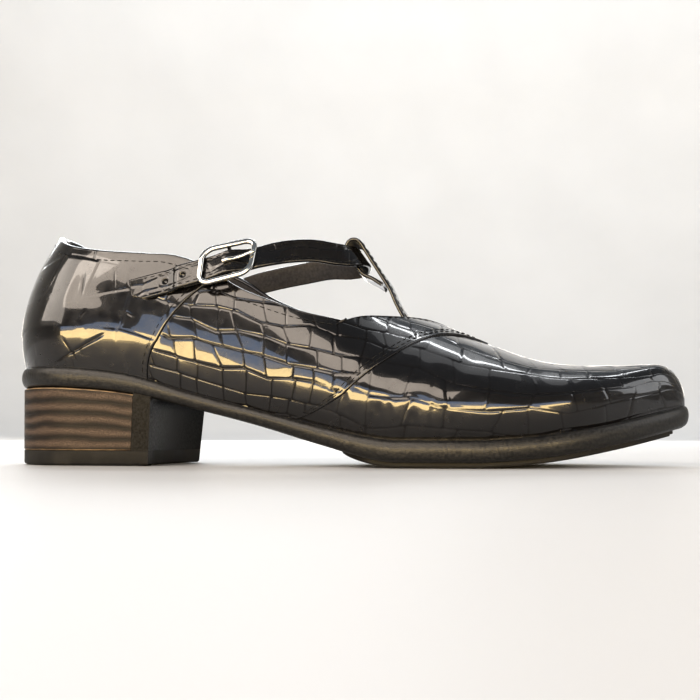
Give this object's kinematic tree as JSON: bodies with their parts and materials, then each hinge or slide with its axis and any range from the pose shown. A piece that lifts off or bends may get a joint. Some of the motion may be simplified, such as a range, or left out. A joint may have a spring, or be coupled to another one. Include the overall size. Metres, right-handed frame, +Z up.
{
  "type": "buckle strap low heel shoe",
  "caption": "Women's right shoe on a low stacked block heel: closed pointed toe, hollow upper, T-bar with a loop, and an ankle strap fastened by a small buckle on the outer side.",
  "frame": {"origin": "middle of the shoe's bounding box, on the floor it stands on", "axes": "+X towards the toe, +Y towards the inner side of the foot, +Z up"},
  "size_m": [0.2568, 0.0808, 0.0912],
  "materials": {
    "patent": "glossy, embossed",
    "lining": "matte",
    "sole": "satin",
    "tread": "matte, ribbed",
    "stack": "satin, in layers",
    "silver": "polished"
  },
  "bodies": {
    "root": {"outsole": "sole", "heel_stack": "stack", "heel_top_piece": "tread", "forefoot_tread": "tread", "insole": "lining", "upper": "patent", "t_bar": "patent", "ankle_strap": "patent", "buckle_tab": "patent", "buckle_frame": "silver", "buckle_prong": "silver"}
  },
  "joints": []
}
